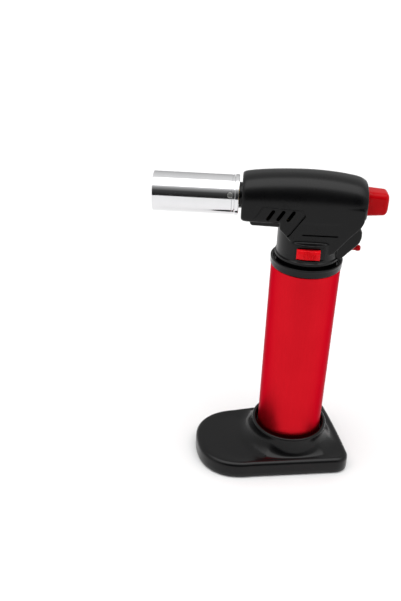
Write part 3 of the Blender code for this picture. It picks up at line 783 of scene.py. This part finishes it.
def cheek_outline(shrink=0.0):
    """The flat sides that join the barrel to the neck."""
    s = shrink
    corners = [
        (-17.6 + s, 172.0, 0), (-17.6 + s, 158.2, 1.0), (-12.8 + s, 153.2, 1.0), (-10.4 + s, 151.0, 0.5),
        (-10.4 + s, 144.0, 0), (10.4 - s * 0.4, 144.0 + s, 0.5), (13.4 - s * 0.5, 145.4 + s, 0.8),
        (20.4 - s * 0.9, 154.6 + s * 0.4, 1.0), (26.2 - s * 0.9, 161.2 + s * 0.4, 1.5),
        (27.6 - s, 164.4, 1.5), (27.6 - s, 172.0, 0),
    ]
    return rounded_path(corners, 4)


def spine_outline(shrink=0.0):
    """The narrower back of the head, down to the neck."""
    s = shrink
    corners = [
        (2.0, 168.0, 0), (27.4 - s, 168.0, 0), (27.4 - s, 157.6, 0.6), (28.4 - s, 155.8, 1.2),
        (28.5 - s, 152.4, 1.2), (27.7 - s, 149.4, 1.0), (26.0 - s, 147.2 + s * 0.4, 0.8),
        (18.6 - s, 139.4 + s * 0.9, 1.0), (15.8 - s, 137.3 + s * 0.8, 0.5), (2.0, 137.3 + s * 0.8, 0),
    ]
    return rounded_path(corners, 4)


def head_form():
    """The outside of the whole head as one moulding with soft edges."""
    neck = [(0, 141.0, 0), (NECK_R, 141.0, 0), (NECK_R, 150.9, 0.4), (13.0, 151.2, 0), (0, 151.2, 0)]
    chin = [(-34.0, 163.0, 0), (-33.9, 159.0, 1.0), (-33.0, 157.9, 1.0), (-15.0, 157.7, 0), (-15.0, 163.0, 0)]
    shapes = [
        barrel(),
        eased_prism(cheek_outline(), CHEEK, 0.6),
        eased_prism(spine_outline(), SPINE, 1.2),
        turned(neck, 160),
        eased_prism(rounded_path(chin), 10.8, 1.0),
        neck_front(NECK_R, CHEEK - 0.3, 149.0, 158.8),
    ]
    form = solid("head_form", merged(*shapes))
    remesh = form.modifiers.new("skin", "REMESH")
    remesh.mode = "VOXEL"
    remesh.voxel_size = VOXEL * MM
    ease = form.modifiers.new("ease", "SMOOTH")
    ease.factor = 0.5
    ease.iterations = 7
    settle(form)
    flange = [
        (0, NECK_BOTTOM, 0), (17.2, NECK_BOTTOM, 0.2), (17.2, 138.3, 0.2), (18.5, 138.6, 0.35),
        (18.5, 139.9, 0.4), (NECK_R + 0.02, 140.5, 0.3), (NECK_R + 0.02, 142.5, 0), (0, 142.5, 0),
    ]
    return cut(form, [turned(flange, 192)], "UNION")


def neck_front(radius, flat, low, high):
    """The round neck above its step, cut flat where the head's flat sides cover it."""
    circle = [(radius * cos(2 * pi * i / 160), radius * sin(2 * pi * i / 160)) for i in range(160)]
    return prism([(x, max(-flat, min(flat, y))) for x, y in circle], low, high)


def head_room():
    """The hollow inside the two halves, left round the ribs and the screw bosses."""
    room = solid("head_room", barrel(SHELL))
    more = [
        eased_prism(cheek_outline(SHELL), CHEEK - SHELL, 0.2),
        eased_prism(spine_outline(SHELL), SPINE - SHELL, 0.2),
        rod(NECK_R - SHELL, NECK_BOTTOM - 1, 149.8, 64),
        neck_front(NECK_R - SHELL, CHEEK - SHELL, 149.0, 157.4),
    ]
    cut(room, more, "UNION")
    kept = [block(-11.6, -10.1, -16, 16, 165.0, 190.0), block(-3.6, -2.1, -16, 16, 165.0, 190.0)]
    kept.append(block(-13.5, 11.5, -19.0, -13.2, 139.6, 153.0))
    kept.append(block(-28.5, -8.5, -BAFFLE, BAFFLE, 161.0, 167.2))
    kept += [rod(3.6, -20, 20, 32, "Y", (x, z)) for x, z, _ in HOUSING_SCREWS]
    return cut(room, kept)


def vent_slots():
    """Three slanted air slots on each side, with the wall thinned from inside round them."""
    slots = []
    for side in (-1, 1):

        def pocket(outline, depth):
            return prism(outline, *sorted((side * BAFFLE, side * depth)), "Y")

        slots.append(pocket([(-24.6, 169.2), (-28.0, 162.8), (-12.4, 162.8), (-8.8, 169.2)], 13.95))
        for number in range(3):
            x = -21.6 + 5.5 * number
            slots.append(pocket(strip((x, 168.3), (x - 2.7, 163.8), 1.95), 20.0))
    return slots


def surface_grooves():
    """Shallow lines moulded into both flat sides."""
    grooves = []
    for side in (-1, 1):
        outer = side * 20.0

        def line(start, end, width, floor):
            return prism(strip(start, end, width), *sorted((side * floor, outer)), "Y")

        grooves.append(line((-27.4, 170.3), (-31.6, 163.4), 0.35, 13.7))
        grooves.append(line((-27.2, 170.6), (-6.4, 169.6), 0.22, 14.0))
        grooves.append(line((-4.7, 166.6), (-12.6, 154.6), 1.3, 13.2))
        grooves.append(line((-5.6, 169.4), (-4.7, 167.2), 0.6, 13.9))
        grooves.append(line((-4.6, 155.6), (14.0, 155.7), 0.9, 13.4))
    return grooves


def head_openings():
    trigger = rounded_box(0, TRIGGER_Z, 6.8, 7.7, 2.4)
    openings = [
        rod(7.2, -45, -36, 64, "X", (0.0, BARREL_Z)),
        prism(trigger, 20, 35, "X"),
        rod(4.8, -12.0, 10.0, 48, "X", (0.0, TRIGGER_Z)),
        block(18.0, 32.0, -6.2, 6.2, 141.8, 145.2),
        prism(rounded_box(-1.4, 145.7, 10.4, 4.2, 1.6), -22.0, -15.6, "Y"),
        block(-7.1, 1.5, -18.0, -12.0, 143.8, 147.6),
    ]
    for x, z, seat in HOUSING_SCREWS:
        openings.append(rod(1.5, -seat, 20, 24, "Y", (x, z)))
        openings.append(rod(2.8, seat, 20, 40, "Y", (x, z)))
    return openings + vent_slots() + surface_grooves()


def make_head():
    form = head_form()
    room = head_room()
    shell = form.modifiers.new("room", "BOOLEAN")
    shell.solver = "EXACT"
    shell.object = room
    settle(form)
    bpy.data.objects.remove(room)
    cut(form, head_openings(), sharp=32)
    seam = 0.06
    halves = {"head_left": (seam, 30, "housing_left"), "head_right": (-30, -seam, "housing_right")}
    for name, (low, high, node) in halves.items():
        half = form.copy()
        half.data = form.data.copy()
        half.name = name
        bpy.context.scene.collection.objects.link(half)
        cut(half, [block(-60, 60, low, high, 120, 200)], "INTERSECT", 32)
        half.data.materials.clear()
        half.data.materials.append(HEAD_BLACK)
        finish(half, "torch", "head_black_plastic", node)
    bpy.data.objects.remove(form)
    for number, (x, z, seat) in enumerate(HOUSING_SCREWS, 1):
        reach = seat + 0.3
        profile = [
            (0, 0.6 - seat, 0), (0.5, 0.6 - seat, 0), (1.2, 2.0 - seat, 0.1), (1.2, reach, 0),
            (2.5, reach, 0.1), (2.5, reach + 0.9, 0.7), (0, reach + 1.4, 0),
        ]
        place = Matrix.Translation((x, 0, z))
        screw = cross_screw(f"head_screw_{number}", profile, reach + 1.3, place, 1.5, 0.5)
        finish(screw, "torch", "steel", f"housing_screw_{number}")


# ---------------------------------------------------------------- controls


def make_trigger():
    """The back button: a tapering block with round edges, a lip that holds it in, and the valve's ramp."""
    low, high = span("trigger_button")
    rings = []
    root, end = 25.5, high.x
    edge = 2.4
    stations = [(root + (end - edge - root) * i / 14, 0.0) for i in range(15)]
    turns = [pi / 2 * i / 8 for i in range(1, 9)]
    stations += [(end - edge * (1 - sin(a)), edge * (1 - cos(a))) for a in turns]
    for x, pull in stations:
        part = (x - root) / (end - root)
        half_z, half_y = 7.3 - 1.1 * part - pull, 6.5 - 0.4 * part - pull
        outline = rounded_box(0, TRIGGER_Z, half_y, half_z, max(3.0 - pull * 0.5, 1.5), 10)
        rings.append([(x, y, z) for y, z in outline])
    for inner in (0.6, 0.25):
        rings.append([(end + 0.0, y * inner, TRIGGER_Z + (z - TRIGGER_Z) * inner) for _, y, z in rings[-1]])
    rings.insert(0, [(low.x + 9.0, y, z) for _, y, z in rings[0]])
    button = solid("trigger_cap", skin(rings), RED_PLASTIC_PAINTED_SHADE, 60)
    lip = prism(rounded_box(0, TRIGGER_Z, 8.2, 8.9, 1.5), 22.0, 24.0, "X")
    ramp = prism([(14.0, 164.4), (14.0, 162.0), (20.5, 159.3), (23.9, 159.3), (23.9, 164.4)], -3.0, 3.0, "Y")
    cut(button, [lip, ramp], "UNION", 40)
    finish(button, "trigger", "red_plastic", "trigger_button")


def make_slide_lock():
    """The ribbed red slide: a flat cushion with fine upright ribs in the middle and a sloping front part."""
    low, high = span("safety_slide")
    x0, x1, z0, z1 = low.x, high.x, low.z, high.z
    across, up = 177, 32
    front, back = low.y, -15.9

    def face(u, v):
        x, z = x0 + (x1 - x0) * u, z0 + (z1 - z0) * v
        side = min(min(u, 1 - u) * (x1 - x0), min(v, 1 - v) * (z1 - z0))
        round_off = 0.0 if side > 0.7 else 0.7 - (0.49 - (0.7 - side) ** 2) ** 0.5
        slope = 0.7 * max(0.0, 1 - (x - x0) / 3.6) + 0.35 * max(0.0, (z - z1 + 1.8) / 1.8)
        ribs = 0.0
        if 3.6 < x - x0 < 10.6:
            ribs = 0.17 * (1 - cos(2 * pi * (x - x0 - 3.6) / 0.875)) * min(1.0, max(0.0, (side - 0.2) / 0.5))
        return (x, front + round_off + slope + 0.02 + ribs, z)

    grid = [[face(i / across, j / up) for i in range(across + 1)] for j in range(up + 1)]
    points = [Vector(p) for row in grid for p in row]
    faces = []
    width = across + 1
    for j in range(up):
        for i in range(across):
            a = j * width + i
            faces.append((a, a + 1, a + 1 + width, a + width))
    border = [i for i in range(width)]
    border += [j * width + across for j in range(1, up + 1)]
    border += [up * width + i for i in range(across - 1, -1, -1)]
    border += [j * width for j in range(up - 1, 0, -1)]
    start = len(points)
    points += [Vector((points[i].x, back, points[i].z)) for i in border]
    for k, i in enumerate(border):
        n = (k + 1) % len(border)
        faces.append((i, start + k, start + n, border[n]))
    faces.append(tuple(range(start, start + len(border))))
    button = solid("slide_lock_cap", (points, faces), SLIDE_RED_PAINTED_LIGHT, 50)
    cut(button, [block(-2.8, 1.2, -16.5, -12.6, 144.1, 147.3)], "UNION", 50)
    finish(button, "slide_lock", "red_plastic", "safety_slide")


def make_flow_lever():
    low, high = span("flow_lever")
    middle = (low.z + high.z) / 2
    under, over = middle - 1.1, middle + 1.1
    hub = [(5.3, under, 0.2), (7.0, under, 0.3), (7.0, over, 0.3), (5.3, over, 0.2)]
    ring = solid("flow_arm", turned(hub, 64), RED_PLASTIC_PAINTED_SHADE)
    arm = [(6.0, -1.6), (28.0, -1.2), (28.0, 1.2), (6.0, 1.6)]
    reach = high.x - 28.1
    rings = []
    for step in range(-8, 9):
        angle = pi / 2 * step / 8.6
        pull = 1.1 * (1 - cos(angle) ** 0.7)
        outline = rounded_box(28.1, 0, reach - pull, reach - pull, reach - pull - 0.35, 6)
        rings.append([(x, y, middle + 1.5 * sin(angle) / sin(pi / 2 * 8 / 8.6)) for x, y in outline])
    cut(ring, [prism(arm, middle - 1.0, middle + 1.0), skin(rings)], "UNION")
    finish(ring, "flow_lever", "red_plastic", "flow_lever")


# ---------------------------------------------------------------- pieces kept as CAD

CARRIED = {
    "fuel_tank": NYLON,
    "filter_wick": FELT,
    "fill_spring": SPRING_WIRE,
    "fill_seal": RUBBER,
    "gas_valve_body": BRASS,
    "valve_nut": BRASS,
    "valve_plate": DULL_BLACK,
    "valve_stem": BRASS,
    "valve_spring": SPRING_WIRE,
    "valve_lever": ZINC,
    "lever_pin": SPRING_WIRE,
    "lever_bracket": ZINC,
    "gas_tube": BRASS,
    "gas_jet": BRASS,
    "electrode": SPRING_WIRE,
    "electrode_sleeve": CERAMIC,
    "ignition_lead": RUBBER,
    "safety_latch": DULL_BLACK,
    "piezo_plunger": DULL_BLACK,
    "trigger_spring": SPRING_WIRE,
    "piezo_case": DULL_BLACK,
}


def dress_carried():
    for node, look in CARRIED.items():
        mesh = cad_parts[node].data
        mesh.materials.clear()
        mesh.materials.append(look)


# ---------------------------------------------------------------- stage, light and camera

# Brightness at each angle round the X axis: level front 0, overhead 90, level back 180, straight down -90
ROOM_LEVELS = (
    (-180, 0.3), (-90, 0.3), (-12, 0.02), (2, 0.02), (24, 0.06), (40, 0.32), (50, 0.75), (56, 2.9), (98, 2.9),
    (104, 0.85), (125, 0.75), (150, 0.6), (180, 0.35),
)
SIDE_LEVEL = 0.8
BACKDROP_LEVEL = 0.85  # what the camera sees beyond the floor
ROOM_STRENGTH = 1.12


def make_floor():
    look = Look("pale_floor", 0.6)
    cloud = look.noise(160.0, 2.0)
    look.colour(look.blend(cloud, (0.79, 0.79, 0.79), (0.81, 0.81, 0.81)))
    sheet = block(-2600, 2600, -1350, 4200, -20, -DATUM.z)
    solid("floor", sheet, look.material)


def make_room():
    """A studio: a wide soft light overhead, pale walls behind and beside, and a dark side in front."""
    world = bpy.data.worlds.new("studio")
    bpy.context.scene.world = world
    world.use_nodes = True
    sky = Look.on_tree(world.node_tree, "Generated")
    parts = [sky.node("ShaderNodeSeparateXYZ", {}, {0: sky.place}, i) for i in range(3)]
    turn = (parts[2].math("ARCTAN2", parts[1] * -1.0)) / (2 * pi) + 0.5
    stops = [((angle + 180) / 360, (level,) * 3) for angle, level in ROOM_LEVELS]
    middle = sky.node("ShaderNodeValToRGB", {"stops": stops}, {0: turn})
    sides = parts[0].math("ABSOLUTE").ramp(0.35, 0.85)
    level = sky.blend(sides, middle, (SIDE_LEVEL,) * 3)
    seen = sky.node("ShaderNodeLightPath", {}, {}, "Is Camera Ray")
    level = sky.blend(seen, level, (BACKDROP_LEVEL,) * 3)
    sky.fill(world.node_tree.nodes["Background"], {"Color": level, "Strength": ROOM_STRENGTH})


def make_camera():
    """Above the side of the torch, looking down on it at about 29 degrees."""
    yaw, pitch, roll = 0.056, 0.509, -0.033
    place = (Vector((-38.7, -380.2, 315.7)) + DATUM) * MM
    forward = Vector((-sin(yaw) * cos(pitch), cos(yaw) * cos(pitch), -sin(pitch)))
    level = Vector((cos(yaw), sin(yaw), 0.0))
    down = forward.cross(level)
    right = cos(roll) * level + sin(roll) * down
    up = sin(roll) * level - cos(roll) * down
    camera = bpy.data.cameras.new("camera")
    camera.lens = 43.55
    camera.sensor_width = 36.0
    camera.clip_start = 0.01
    made = bpy.data.objects.new("camera", camera)
    axes = Matrix((right, up, -forward)).transposed().to_4x4()
    made.matrix_world = Matrix.Translation(place) @ axes
    bpy.context.scene.collection.objects.link(made)
    bpy.context.scene.camera = made


make_camera()
make_stand()
make_stand_pad()
make_socket_grip()
make_tank()
make_fill_valve()
make_nozzle()
make_burner()
make_head()
make_trigger()
make_slide_lock()
make_flow_lever()
dress_carried()
make_floor()
make_room()
bpy.context.scene.view_settings.view_transform = "Standard"
